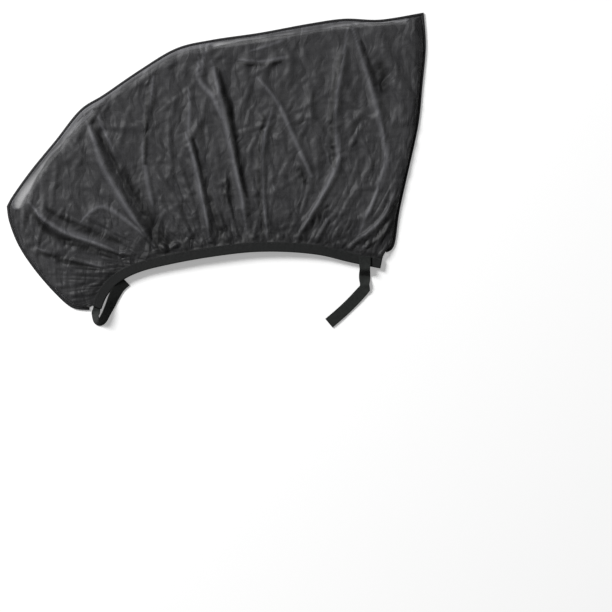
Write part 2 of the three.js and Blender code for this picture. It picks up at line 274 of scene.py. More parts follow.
# Where a single thin layer lets the floor show, inside the rim: middle lines, and half widths in millimetres
LIGHT_STRIPS = [
    ([(0.026, 0.356), (0.041, 0.394), (0.065, 0.441)], (8, 10, 7)),
    ([(0.065, 0.441), (0.098, 0.502), (0.163, 0.603), (0.208, 0.66)], (7, 4, 3, 2)),
    ([(0.498, 0.89), (0.557, 0.903)], (5, 4)),
    ([(0.557, 0.903), (0.701, 0.932), (0.821, 0.959), (0.952, 0.973)], (4, 2.6, 3, 2.6)),
]


# Shares of the light that the cloth stops: lying open, added at the gathers (denser cloth, partly painted
# shade), taken off over a crest as painted highlight, in the valleys as painted shade, in the hems, in the
# thin hem outside the upper left, and where one layer lies alone
OPEN_COVER = 0.79
GATHERS_ADD = 0.11
PAINTED_HIGHLIGHT_TAKES = 0.085
PAINTED_SHADE_COVER = 0.96
HEM_COVER = 0.86
OUTER_HEM_COVER = 0.5
THIN_COVER = 0.3
RIGHT_HEM = 19 * MM
SIDE_HEM = 13 * MM
HEM_EDGE = 2 * MM

# How far from the band and the rim the cloth becomes loose
BAND_EASE = 12 * MM
RIM_EASE = 18 * MM


def ridge_height(points, line, height, reach, steepness=1.0):
    """A ridge over a line; below 1, the steepness makes its left slope the gentler one."""
    gap, share, on_left = nearest(points, line)
    taper = np.minimum(1, np.minimum(5 * share + 0.1, 6 * (1 - share) + 0.3))
    gap = np.where(on_left, gap * steepness, gap)
    return height * taper * np.exp(-((gap / reach) ** 1.5))


def crease_heights(points, count, seed, length, height, reach):
    """Short random creases, as in cloth that was packed folded."""
    draw = np.random.default_rng(seed)
    low, high = points.min(0), points.max(0)
    total = np.zeros(len(points))
    for _ in range(count):
        middle = draw.uniform(low, high)
        angle = draw.normal(math.pi / 2, 0.9)
        half = draw.uniform(*length) / 2
        along = np.array([math.cos(angle), math.sin(angle)]) * half
        bend = np.array([-along[1], along[0]]) * draw.uniform(-0.3, 0.3)
        tall = draw.uniform(*height)
        wide = draw.uniform(*reach)
        near = np.abs(points - middle).max(1) < half + 3 * reach[1]
        if near.any():
            line = np.array([middle - along, middle + bend, middle + along])
            total[near] += ridge_height(points[near], line, tall, wide)
    return total


def gather_folds(points, band_edge, rim_edge, count, seed, length, height, reach):
    """Thin folds that fan out from the band, where the cloth is drawn together."""
    draw = np.random.default_rng(seed)
    total = np.zeros(len(points))
    for _ in range(count):
        foot = draw.integers(len(band_edge))
        heading = rim_edge[foot] - band_edge[foot]
        heading = heading / np.linalg.norm(heading)
        aside = np.array([heading[1], -heading[0]])
        long = min(draw.uniform(*length), 0.8 * np.linalg.norm(rim_edge[foot] - band_edge[foot]))
        sway = draw.normal(0, 0.07, 2) * long
        line = np.array([
            band_edge[foot] + heading * long + aside * sway[0],
            band_edge[foot] + heading * long / 2 + aside * sway[1],
            band_edge[foot],
        ])
        tall = draw.uniform(*height)
        wide = draw.uniform(*reach)
        total = np.maximum(total, ridge_height(points, line, tall, wide))
    return total


def panel_grid(columns_per_pleat, rows):
    """Plan places of a panel's mesh, its shares along the mouth, and how far each lies from band and rim."""
    mouth = even_points(placed(MOUTH), PLEATS * columns_per_pleat)
    rim = rim_points(columns_per_pleat) + CORNER
    band_grip = beside(mouth, BAND_WIDTH / 2 - SLOT_LEVEL)
    band_exit = beside(mouth, -BAND_WIDTH / 2 - CLEARANCE)
    rim_exit = beside(rim, RIM_WIDTH / 2 + CLEARANCE)
    rim_grip = beside(rim, RIM_BACK_LEVEL - RIM_WIDTH / 2)
    parts = (np.arange(rows + 1) / rows) ** 1.1
    inner = band_exit[None] + parts[:, None, None] * (rim_exit - band_exit)[None]
    plan = np.concatenate([band_grip[None], (band_grip + band_exit)[None] / 2, inner, rim_grip[None]])
    flat = plan.reshape(-1, 2)
    from_band = np.maximum(0, nearest(flat, mouth)[0] - BAND_WIDTH / 2 - CLEARANCE)
    from_rim = np.maximum(0, nearest(flat, rim)[0] - RIM_WIDTH / 2 - CLEARANCE)
    share = np.tile(np.linspace(0, 1, len(mouth)), len(plan))
    return plan, share, from_band, from_rim


def pleat_heights(share, seed):
    """Small pleats along the band, each with its own height and width."""
    draw = np.random.default_rng(seed)
    widths = draw.uniform(0.5, 1.5, PLEATS)
    edges = np.append(0, np.cumsum(widths)) / widths.sum()
    pleat = np.clip(np.searchsorted(edges, share, side="right") - 1, 0, PLEATS - 1)
    part = (share - edges[pleat]) / (edges[pleat + 1] - edges[pleat])
    heights = draw.uniform(0.4, 1.0, PLEATS)
    return heights[pleat] * np.sin(np.pi * part) ** 2


def spread(flat, lines, sharpness):
    """How far each point lies inside any of the lines' widths, from 0 outside to 1 inside."""
    most = np.zeros(len(flat))
    for line, widths in lines:
        gap, share, _ = nearest(flat, even_points(placed(line), 16))
        width = np.interp(share, np.linspace(0, 1, len(widths)), widths) * MM
        most = np.maximum(most, np.clip(0.5 + sharpness * (1 - gap / width), 0, 1))
    return most


def paint_cover(piece):
    """How much light a panel stops at each point: more where it is gathered or hemmed, less along the crests
    as painted highlight, and more in the valleys as painted shade.
    """
    flat = np.zeros((len(piece.data.vertices), 2))
    corners = np.empty(len(piece.data.loops), int)
    piece.data.loops.foreach_get("vertex_index", corners)
    places = np.empty(len(corners) * 2)
    piece.data.uv_layers[0].data.foreach_get("uv", places)
    flat[corners] = places.reshape(-1, 2)
    from_band = np.maximum(0, nearest(flat, even_points(placed(MOUTH), 60))[0] - BAND_WIDTH / 2)
    x_share, y_share = ((flat - CORNER) / PANEL).T
    cover = OPEN_COVER + GATHERS_ADD * np.clip(1 - from_band / GATHER_REACH, 0, 1) ** 2
    # Painted highlight: the cover is lowered along each fold's crest
    cover -= PAINTED_HIGHLIGHT_TAKES * spread(flat, [(line, (1, height / 3, 2)) for height, _, line in FOLDS], 0.5)
    # Painted shade: the cover is raised towards its dark valley level along the valleys
    cover += (PAINTED_SHADE_COVER - cover) * spread(flat, PAINTED_SHADE_VALLEYS, 0.45)
    from_right = nearest(flat, even_points(placed(RIGHT_SIDE), 30))[0]
    right_hem = np.clip((RIGHT_HEM - from_right) / HEM_EDGE, 0, 1) * (x_share > 0.88)
    cover = np.maximum(cover, HEM_COVER * right_hem)
    from_left = nearest(flat, even_points(placed(LEFT_SIDE), 30))[0]
    # The left hem widens from nothing at the mouth
    left_width = SIDE_HEM * np.clip((y_share - 0.17) / 0.15, 0, 1)
    left_hem = np.clip((left_width - from_left) / HEM_EDGE, 0, 1)
    cover = np.maximum(cover, HEM_COVER * left_hem)
    from_top = nearest(flat, even_points(placed(TOP_SIDE), 60))[0]
    outer_hem = np.clip((SIDE_HEM - from_top) / HEM_EDGE, 0, 1) * np.clip((x_share - 0.06) / 0.1, 0, 1)
    outer_hem *= np.clip((0.5 - x_share) / 0.05, 0, 1)
    cover += (OUTER_HEM_COVER - cover) * outer_hem
    cover += (THIN_COVER - cover) * spread(flat, LIGHT_STRIPS, 3.0)
    layer = piece.data.attributes.new("cover", "FLOAT", "POINT")
    layer.data.foreach_set("value", np.clip(cover, 0.05, 0.97))


def settle(piece, floor_level, frames, slack):
    """Cloth simulation: the panel settles between band and rim, with its seeded folds as spare cloth."""
    bpy.ops.object.select_all(action="DESELECT")
    bpy.ops.mesh.primitive_plane_add(size=2, location=(0, 0, floor_level))
    under = bpy.context.object
    under.modifiers.new("collision", "COLLISION")
    under.collision.thickness_outer = 0.001
    under.collision.cloth_friction = 10
    cloth = piece.modifiers.new("cloth", "CLOTH")
    settings = cloth.settings
    settings.quality = 6
    settings.mass = 0.02
    settings.air_damping = 2
    settings.tension_stiffness = 15
    settings.compression_stiffness = 10
    settings.shear_stiffness = 3
    settings.bending_stiffness = 0.6
    settings.effector_weights.gravity = 0.4
    settings.vertex_group_mass = "held"
    settings.shrink_min = -slack
    cloth.collision_settings.distance_min = 0.001
    cloth.collision_settings.use_self_collision = False
    cloth.point_cache.frame_start = 1
    cloth.point_cache.frame_end = frames
    for number in range(1, frames + 1):
        bpy.context.scene.frame_set(number)
    bpy.ops.object.select_all(action="DESELECT")
    piece.select_set(True)
    bpy.context.view_layer.objects.active = piece
    bpy.ops.object.modifier_apply(modifier="cloth")
    bpy.data.objects.remove(under)
    bpy.context.scene.frame_set(1)


def crumple(piece, size, depth, sharp, direction="NORMAL", middle=0.5):
    """Small crumples over the free cloth, from a procedural pattern of cells or of soft lumps."""
    pattern = bpy.data.textures.new("crumple", "VORONOI" if sharp else "CLOUDS")
    pattern.noise_scale = size
    if sharp:
        pattern.weight_1 = -1
        pattern.weight_2 = 1
    modify(
        piece, "DISPLACE", texture=pattern, texture_coords="LOCAL", vertex_group="free",
        direction=direction, mid_level=middle, strength=depth)


# A flat level that stands in for the back panel under the cloth, the simulation's length in frames, and the
# share by which the cloth is cut too large
SETTLE_LEVEL = 4 * MM
SETTLE_FRAMES = 20
CLOTH_SLACK = 0.014


def front_panel():
    plan, share, from_band, from_rim = panel_grid(6, 102)
    flat = plan.reshape(-1, 2)
    band_level = FRONT_BAND_LEVEL + lift(share) + SLOT_LEVEL
    rise = ramp(from_rim, np.minimum(60 * MM, from_band + from_rim))
    level = RIM_FRONT_LEVEL + (band_level - RIM_FRONT_LEVEL) * rise
    squares = np.zeros(len(flat))
    for height, reach, line in FOLDS:
        squares += ridge_height(flat, even_points(placed(line), 12), height * MM, 1.3 * reach * MM, 0.8) ** 2
    folds = np.sqrt(squares)
    gathers = gather_folds(
        flat, plan[2], plan[-2], 80, 7, (0.06, 0.28), (1.5 * MM, 4.5 * MM), (4 * MM, 8 * MM))
    creases = crease_heights(flat, 300, 11, (0.04, 0.16), (1 * MM, 3.2 * MM), (3 * MM, 7 * MM))
    creases *= np.clip(1.2 - folds / (6 * MM), 0, 1)
    pleats = 1.2 * MM * pleat_heights(share, 5) * np.clip(1 - from_band / GATHER_REACH, 0, 1)
    held = np.zeros(plan.shape[:2], bool)
    held[:3] = True
    held[-2:] = True
    held = held.reshape(-1)
    loose = (np.maximum(folds, gathers) + creases) * ramp(from_band, BAND_EASE) * ramp(from_rim, RIM_EASE)
    height = level + np.where(held, 0, loose + pleats * ramp(from_band, 16 * MM))
    piece = grid_piece("front_mesh", np.column_stack([flat, height]).reshape(*plan.shape[:2], 3), plan)
    weigh(piece, "held", held)
    weigh(piece, "free", ramp(from_band, 8 * MM) * ramp(from_rim, 12 * MM))
    settle(piece, SETTLE_LEVEL, SETTLE_FRAMES, CLOTH_SLACK)
    modify(piece, "SUBSURF", levels=1, render_levels=1)
    crumple(piece, 38 * MM, -3.5 * MM, True)
    crumple(piece, 26 * MM, 2 * MM, False)
    paint_cover(piece)
    return piece


def back_panel():
    plan, share, from_band, from_rim = panel_grid(4, 60)
    flat = plan.reshape(-1, 2)
    span = np.minimum(60 * MM, from_band + from_rim) / 2
    level = SLOT_LEVEL * (1 - ramp(from_band, span)) + RIM_BACK_LEVEL * (1 - ramp(from_rim, span))
    creases = crease_heights(flat, 160, 23, (0.04, 0.14), (0.3 * MM, 1.2 * MM), (3 * MM, 7 * MM))
    pleats = 1.4 * MM * pleat_heights(share, 8) * np.clip(1 - from_band / GATHER_REACH, 0, 1) ** 2
    loose = creases * ramp(from_band, BAND_EASE) * ramp(from_rim, RIM_EASE)
    height = level + 0.1 * MM + loose + pleats * ramp(from_band, 4 * MM)
    points = np.column_stack([flat, height]).reshape(*plan.shape[:2], 3)
    # Columns run from right to left, so that the cloth faces the ground
    piece = grid_piece("back_mesh", points[:, ::-1], plan[:, ::-1])
    turned = np.arange(len(flat)).reshape(plan.shape[:2])[:, ::-1].reshape(-1)
    weigh(piece, "free", (ramp(from_band, 8 * MM) * ramp(from_rim, 12 * MM))[turned])
    modify(piece, "SUBSURF", levels=1, render_levels=1)
    crumple(piece, 26 * MM, 2.2 * MM, True, "Z", 0.0)
    paint_cover(piece)
    return piece


# Bindings

def rounded_path(width, height, wall, flat_steps, bend_steps):
    """Middle line of a folded binding's section: along its top, round its closed side, back underneath."""
    radius = height / 2 - wall / 2
    start = -width / 2 + wall / 2 + radius
    top = [(x, height - wall / 2) for x in np.linspace(width / 2, start, flat_steps)]
    angles = np.linspace(math.pi / 2, 3 * math.pi / 2, bend_steps + 2)[1:-1]
    bend = [(start + radius * math.cos(a), height / 2 + radius * math.sin(a)) for a in angles]
    under = [(x, wall / 2) for x in np.linspace(start, width / 2, flat_steps)]
    return np.array(top + bend + under)


def binding(name, line, side, path, wall, levels, ripple):
    """A binding swept along a line; side is 1 where the panel lies to the right of travel."""
    run = np.append(0, np.cumsum(np.linalg.norm(np.diff(line, axis=0), axis=1)))
    girth = np.append(0, np.cumsum(np.linalg.norm(np.diff(path, axis=0), axis=1)))
    rows = []
    for (across, height), distance in zip(path, girth):
        swell = ripple(run, distance, height > path[:, 1].mean())
        edge = beside(line, side * across)
        rows.append(np.column_stack([edge, levels + height + swell]))
    places = np.stack(np.meshgrid(run, girth), axis=-1)
    piece = grid_piece(name, np.array(rows), places)
    modify(piece, "SOLIDIFY", thickness=wall, offset=0)
    return piece


def rim_overlock():
    line = rim_points(30) + CORNER
    path = rounded_path(RIM_WIDTH, rim_height, RIM_WALL, 4, 5)
    thread = 3.0 * MM

    def ripple(run, distance, on_top):
        return (0.12 if on_top else 0) * MM * np.sin(2 * math.pi * run / thread + 800 * distance)

    return binding("rim_overlock", line, 1, path, RIM_WALL, 0.0, ripple)


RIB_PITCH = 2.1 * MM
PUCKER_LENGTHS = (9e-3, 14e-3, 23e-3)


def elastic_band(name, level, rise, seed, visible):
    steps = 350
    line = even_points(placed(MOUTH), steps)
    path = rounded_path(BAND_WIDTH, BAND_HEIGHT, BAND_WALL, 22, 5)
    draw = np.random.default_rng(seed)
    phases = draw.uniform(0, 2 * math.pi, 3)
    share = np.linspace(0, 1, steps + 1)

    def ripple(run, distance, on_top):
        if not (on_top and visible):
            return 0 * run
        # The band is ribbed along its length and puckers towards its sewn edge
        rib = 0.1 * MM * math.sin(2 * math.pi * distance / RIB_PITCH)
        waves = zip(PUCKER_LENGTHS, phases)
        pucker = sum(np.sin(2 * math.pi * run / length + phase) for length, phase in waves)
        return rib + 0.12 * MM * pucker * max(0, 1 - distance / (12 * MM))

    return binding(name, line, -1, path, BAND_WALL, level + rise(share), ripple)


# Ties

def ribbon(name, line, widths, tilts, levels):
    """A flat tie along a line, with its width, its turn onto its edge and the height of its middle."""
    left = beside(line, -widths / 2 * np.cos(tilts))
    right = beside(line, widths / 2 * np.cos(tilts))
    lean = widths / 2 * np.sin(tilts)
    shares = np.linspace(0, 1, 11)
    rows = [
        np.column_stack([left + share * (right - left), levels + (1 - 2 * share) * lean])
        for share in shares
    ]
    run = np.append(0, np.cumsum(np.linalg.norm(np.diff(line, axis=0), axis=1)))
    places = np.stack(np.meshgrid(run, shares * TIE_WIDTH), axis=-1)
    piece = grid_piece(name, np.array(rows), places)
    modify(piece, "SOLIDIFY", thickness=TIE_THICKNESS, offset=0)
    modify(piece, "BEVEL", width=0.35 * MM, segments=2, limit_method="ANGLE", angle_limit=math.radians(50))
    return piece


RIGHT_TIE_PLACE = 0.946
RIGHT_TIE_DROP = 49 * MM
RIGHT_TIE_TAIL = 87 * MM
RIGHT_TIE_TURN = math.radians(46)


def mouth_place(share):
    steps = 400
    return even_points(placed(MOUTH), steps)[round(share * steps)]


def tie_right():
    """Sewn on the front band, it drops off the band's edge to the ground and turns to the left."""
    seat = mouth_place(RIGHT_TIE_PLACE)
    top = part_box("strap_right")[1][2] - TIE_THICKNESS / 2
    ground = TIE_THICKNESS / 2
    leave = BAND_WIDTH / 2 + TIE_WIDTH / 4
    landing = leave + 0.4 * (RIGHT_TIE_DROP - leave)
    down = np.concatenate([
        np.linspace(-0.42 * BAND_WIDTH, leave, 14), np.linspace(leave, landing, 14)[1:],
        np.linspace(landing, RIGHT_TIE_DROP, 12)[1:],
    ])
    first = np.column_stack([np.full(len(down), seat[0]), seat[1] - down])
    heights = top + (ground - top) * ramp(down - leave, landing - leave)
    reach = np.array([-math.sin(RIGHT_TIE_TURN), -math.cos(RIGHT_TIE_TURN)])
    aside = np.array([reach[1], -reach[0]])
    parts = np.linspace(0, 1, 44)[1:, None]
    tail = first[-1] + parts * RIGHT_TIE_TAIL * reach - 2 * MM * np.sin(math.pi * parts) * aside
    line = np.vstack([first, tail])
    levels = np.append(heights, ground + 0.2 * MM * (1 + np.sin(9 * parts[:, 0])))
    # Pinched a little narrower just before it turns, and where it leaves the band
    run = np.append(0, np.cumsum(np.linalg.norm(np.diff(line, axis=0), axis=1)))
    turn = run[len(first) - 1]
    pinch = np.exp(-((run - turn + 7 * MM) / (7 * MM)) ** 2)
    pinch += 0.5 * np.exp(-((run - turn + 34 * MM) / (6 * MM)) ** 2)
    widths = TIE_WIDTH * (1 - 0.16 * pinch)
    return ribbon("tie_right", line, widths, np.radians(14) * pinch, levels + 2.4 * MM * pinch)


# The left tie's route, in millimetres from the mouth's left end
LEFT_TIE_LINE = [
    (1.8, 6), (-0.4, -3.5), (-2.2, -13), (0, -22.5), (5, -25.5), (11, -21.5),
    (17.5, -9.5), (24.5, 5.5), (31, 21), (39.5, 35), (51, 46),
]
LEFT_TIE_TILT = math.radians(52)
LEFT_TIE_PINCH = 0.65


def tie_left():
    """Sewn between the bands, it turns onto its edge and doubles back beside the mouth."""
    line = even_points(np.array(LEFT_TIE_LINE) * MM + mouth_place(0), 110)
    run = np.append(0, np.cumsum(np.linalg.norm(np.diff(line, axis=0), axis=1)))
    opened = ramp(run - BAND_WIDTH / 2, TIE_WIDTH * 0.7)
    widths = TIE_WIDTH * (LEFT_TIE_PINCH + (1 - LEFT_TIE_PINCH) * opened)
    tilts = LEFT_TIE_TILT * opened * (1 - 0.55 * ramp(run - 50 * MM, 50 * MM))
    standing = (widths * np.sin(tilts) + TIE_THICKNESS * np.cos(tilts)) / 2
    root = BAND_HEIGHT + CLEARANCE + TIE_THICKNESS / 2
    levels = np.maximum(standing, root + (standing - root) * opened)
    return ribbon("tie_left", line, widths, tilts, levels)


# Stitches

def stitches(name, starts, ends, thickness):
    """Many short stitches as one piece, each a small capsule pressed into the cloth between two points."""
    bpy.ops.object.select_all(action="DESELECT")
    bpy.ops.mesh.primitive_uv_sphere_add(segments=6, ring_count=4, radius=0.5)
    one = bpy.context.object
    form = np.array([vertex.co[:] for vertex in one.data.vertices])
    sides = [list(face.vertices) for face in one.data.polygons]
    bpy.data.objects.remove(one)
    places, faces = [], []
    for start, end in zip(starts, ends):
        heading = end - start
        length = np.linalg.norm(heading)
        heading = heading / length
        aside = np.cross((0, 0, 1), heading)
        aside /= np.linalg.norm(aside)
        up = np.cross(heading, aside)
        moved = (start + end) / 2 + form @ np.array([aside * thickness, up * thickness, heading * length])
        faces += [[len(places) * len(form) + i for i in side] for side in sides]
        places.append(moved)
    mesh = bpy.data.meshes.new(name)
    mesh.from_pydata([tuple(point) for group in places for point in group], [], faces)
    piece = bpy.data.objects.new(name, mesh)
    bpy.context.scene.collection.objects.link(piece)
    for face in mesh.polygons:
        face.use_smooth = True
    return piece


def zigzag(name, level, rise, inset):
    """The zigzag that sews a band to its panel, along the band's upper edge."""
    pitch = 2.2 * MM
    length = np.linalg.norm(np.diff(even_points(placed(MOUTH), 400), axis=0), axis=1).sum()
    count = round(length / pitch)
    line = even_points(placed(MOUTH), count)
    share = np.linspace(0, 1, count + 1)
    swing = np.where(np.arange(count + 1) % 2, 1.4 * MM, -1.4 * MM)
    edge = beside(line, -(BAND_WIDTH / 2 - inset) + swing)
    points = np.column_stack([edge, level + rise(share)])
    return stitches(name, points[:-1], points[1:], 0.45 * MM)


def box_stitch():
    """The square with crossed diagonals that sews the right tie on the band."""
    middle = mouth_place(RIGHT_TIE_PLACE)
    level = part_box("strap_right")[1][2] + 0.05 * MM
    half = np.array([7.5, 5.5]) * MM
    corners = [middle + half * side for side in ((-1, -1), (1, -1), (1, 1), (-1, 1))]
    starts, ends = [], []
    for a, b in ((0, 1), (1, 2), (2, 3), (3, 0), (0, 2), (1, 3)):
        length = np.linalg.norm(corners[b] - corners[a])
        count = round(length / (2.6 * MM))
        for i in range(count):
            for part, points in ((i + 0.12, starts), (i + 0.88, ends)):
                points.append(np.append(corners[a] + (corners[b] - corners[a]) * part / count, level))
    return stitches("tie_stitch", starts, ends, 0.5 * MM)


# Finishes

def linear(code):
    """A linear colour from an sRGB hex value."""
    channels = [int(code[i:i + 2], 16) / 255 for i in (0, 2, 4)]
    return (*[c / 12.92 if c <= 0.04045 else ((c + 0.055) / 1.055) ** 2.4 for c in channels], 1)


def add_node(tree, kind, inputs=None, **settings):
    """A new node: its settings, and for each input a value or a socket to link from."""
    node = tree.nodes.new(kind)
    for name, value in settings.items():
        setattr(node, name, value)
    for name, value in (inputs or {}).items():
        if isinstance(value, bpy.types.NodeSocket):
            tree.links.new(value, node.inputs[name])
        else:
            node.inputs[name].default_value = value
    return node


def new_material(name):
    material = bpy.data.materials.new(name)
    material.use_nodes = True
    material.node_tree.nodes.clear()
    return material, material.node_tree


# The knit's drawn pitch, and the widths in millimetres of the facets between its creases
KNIT_PITCH = 1.3 * MM
WIDE_FACET = 40
SMALL_FACET = 18


def knitted_mesh():
    """Fine knitted polyester mesh of black filament yarn: thin and see-through, with a soft silky sheen and
    irregular rows where the knit was drawn tighter. Its folds' crests carry a painted highlight and its
    valleys painted shade."""
    material, tree = new_material("knitted_polyester_mesh")
    cover = add_node(tree, "ShaderNodeAttribute", attribute_name="cover")
    place = add_node(tree, "ShaderNodeUVMap")
    # Such knits have about 1.5 holes to a millimetre: drawn at 1.3 mm, so that they show close up
    holes = add_node(tree, "ShaderNodeTexVoronoi", {
        "Vector": place.outputs[0], "Scale": 1 / KNIT_PITCH, "Randomness": 0.25,
    }, voronoi_dimensions="2D")
    open_knit = add_node(tree, "ShaderNodeMapRange", {
        "Value": holes.outputs["Distance"],
        "From Min": 0.15, "From Max": 0.6, "To Min": 0.86, "To Max": 1.12,
    })
    # Wales and courses drawn tighter or looser, 3 to 4 mm apart
    wales_place = add_node(tree, "ShaderNodeMapping", {"Vector": place.outputs[0], "Scale": (300, 14, 1)})
    wales = add_node(tree, "ShaderNodeTexNoise", {
        "Vector": wales_place.outputs[0], "Scale": 1.0, "Detail": 3.0, "Roughness": 0.6,
    }, noise_dimensions="2D")
    courses_place = add_node(tree, "ShaderNodeMapping", {"Vector": place.outputs[0], "Scale": (12, 260, 1)})
    courses = add_node(tree, "ShaderNodeTexNoise", {
        "Vector": courses_place.outputs[0], "Scale": 1.0, "Detail": 3.0, "Roughness": 0.6,
    }, noise_dimensions="2D")
    streaks = add_node(tree, "ShaderNodeMath", {
        0: wales.outputs["Fac"], 1: courses.outputs["Fac"],
    }, operation="ADD")
    tightness = add_node(tree, "ShaderNodeMapRange", {
        "Value": streaks.outputs[0],
        "From Min": 0.7, "From Max": 1.3, "To Min": 0.95, "To Max": 1.05,
    })
    knit = add_node(tree, "ShaderNodeMath", {
        0: open_knit.outputs[0], 1: tightness.outputs[0],
    }, operation="MULTIPLY")
    # Cloth that is stretched or bunched in patches 20 to 40 mm wide
    patches = add_node(tree, "ShaderNodeTexNoise", {
        "Vector": place.outputs[0], "Scale": 34.0, "Detail": 5.0, "Roughness": 0.62, "Distortion": 0.9,
    }, noise_dimensions="2D")
    bunching = add_node(tree, "ShaderNodeMapRange", {
        "Value": patches.outputs["Fac"], "From Min": 0.3, "From Max": 0.7, "To Min": 0.94, "To Max": 1.06,
    })
    knit = add_node(tree, "ShaderNodeMath", {
        0: knit.outputs[0], 1: bunching.outputs[0],
    }, operation="MULTIPLY")
    alpha = add_node(tree, "ShaderNodeMath", {
        0: cover.outputs["Fac"], 1: knit.outputs[0],
    }, operation="MULTIPLY", use_clamp=True)
    yarn_tint_and_highlight = add_node(tree, "ShaderNodeMix", {
        "Factor": wales.outputs["Fac"], "A": linear("222224"), "B": linear("323235"),
    }, data_type="RGBA")
    # Painted highlight: the yarn is lightened where the cover map falls below its open level, which is along
    # the folds' crests, and also in the thin strips and the outer hem
    painted_highlight = add_node(tree, "ShaderNodeMapRange", {
        "Value": cover.outputs["Fac"],
        "From Min": OPEN_COVER, "From Max": 0.69, "To Min": 0.0, "To Max": 0.9,
    })
    yarn_tint_and_highlight = add_node(tree, "ShaderNodeMix", {
        "Factor": painted_highlight.outputs[0], "A": yarn_tint_and_highlight.outputs["Result"], "B": linear("626267"),
    }, data_type="RGBA")
    # Painted shade: the yarn darkens towards near black where the cover map is high, which is in the valleys
    # and at the gathers, and also in the hems
    painted_shade = add_node(tree, "ShaderNodeMapRange", {
        "Value": cover.outputs["Fac"],
        "From Min": 0.8, "From Max": 0.92, "To Min": 0.0, "To Max": 0.95,
    })
    tint = add_node(tree, "ShaderNodeMix", {
        "Factor": painted_shade.outputs[0], "A": yarn_tint_and_highlight.outputs["Result"], "B": linear("080809"),
    }, data_type="RGBA")
    # Creases from being packed folded: flat facets of two sizes, longer along the window's height
    wander = add_node(tree, "ShaderNodeTexNoise", {
        "Vector": place.outputs[0], "Scale": 22.0, "Detail": 1.5, "Roughness": 0.5,
    }, noise_dimensions="2D")
    bent_place = add_node(tree, "ShaderNodeVectorMath", {
        0: wander.outputs["Color"], 1: (0.035, 0.035, 0), 2: place.outputs[0],
    }, operation="MULTIPLY_ADD")
    facet_place = add_node(tree, "ShaderNodeMapping", {
        "Vector": bent_place.outputs[0], "Scale": (1.0, 0.36, 1),
    })
    wide_facets = add_node(tree, "ShaderNodeTexVoronoi", {
        "Vector": facet_place.outputs[0], "Scale": 1 / (WIDE_FACET * MM),
    }, voronoi_dimensions="2D", feature="DISTANCE_TO_EDGE")
    small_facets = add_node(tree, "ShaderNodeTexVoronoi", {
        "Vector": facet_place.outputs[0], "Scale": 1 / (SMALL_FACET * MM),
    }, voronoi_dimensions="2D", feature="DISTANCE_TO_EDGE")
    wide_creases = add_node(tree, "ShaderNodeBump", {
        "Height": wide_facets.outputs["Distance"], "Strength": 1.0, "Distance": WIDE_FACET * 0.13 * MM,
    })
    folds = add_node(tree, "ShaderNodeBump", {
        "Height": small_facets.outputs["Distance"], "Normal": wide_creases.outputs[0],
        "Strength": 1.0, "Distance": SMALL_FACET * 0.09 * MM,
    })
    yarn = add_node(tree, "ShaderNodeBump", {
        "Height": open_knit.outputs[0], "Normal": folds.outputs[0], "Strength": 0.3, "Distance": 0.1 * MM,
    })
    shader = add_node(tree, "ShaderNodeBsdfPrincipled", {
        "Base Color": tint.outputs["Result"],
        "Roughness": 0.6,
        "Specular IOR Level": 0.4,
        "Sheen Weight": 0.1,
        "Sheen Roughness": 0.3,
        "Sheen Tint": linear("b4b4ba"),
        "Alpha": alpha.outputs[0],
        "Normal": yarn.outputs[0],
    })
    add_node(tree, "ShaderNodeOutputMaterial", {"Surface": shader.outputs[0]})
    return material


def ribbed_elastic():
    """Woven fold-over elastic, dyed black: matt spun yarn over rubber, with ribs and fine cross yarns."""
    material, tree = new_material("ribbed_fold_over_elastic")
    place = add_node(tree, "ShaderNodeUVMap")
    # Ribs across the band's width, cross yarns 1 mm apart along it
    ribs = add_node(tree, "ShaderNodeTexWave", {
        "Vector": place.outputs[0], "Scale": 2 * math.pi / (20 * RIB_PITCH),
        "Distortion": 0.4, "Detail Scale": 40.0,
    }, bands_direction="Y")
    yarns = add_node(tree, "ShaderNodeTexWave", {
        "Vector": place.outputs[0], "Scale": 2 * math.pi / (20 * 1.0 * MM),
        "Distortion": 0.8, "Detail Scale": 60.0,
    }, bands_direction="X")
    lint = add_node(tree, "ShaderNodeTexNoise", {
        "Vector": place.outputs[0], "Scale": 300.0, "Detail": 4.0,
    }, noise_dimensions="2D")
    weave = add_node(tree, "ShaderNodeMath", {
        0: ribs.outputs["Fac"], 1: yarns.outputs["Fac"],
    }, operation="ADD")
    tint = add_node(tree, "ShaderNodeMix", {
        "Factor": lint.outputs["Fac"], "A": linear("161717"), "B": linear("252626"),
    }, data_type="RGBA")
    bump = add_node(tree, "ShaderNodeBump", {
        "Height": weave.outputs[0], "Strength": 0.5, "Distance": 0.2 * MM,
    })
    shader = add_node(tree, "ShaderNodeBsdfPrincipled", {
        "Base Color": tint.outputs["Result"],
        "Roughness": 0.85,
        "Specular IOR Level": 0.3,
        "Sheen Weight": 0.05,
        "Sheen Roughness": 0.5,
        "Normal": bump.outputs[0],
    })
    add_node(tree, "ShaderNodeOutputMaterial", {"Surface": shader.outputs[0]})
    return material


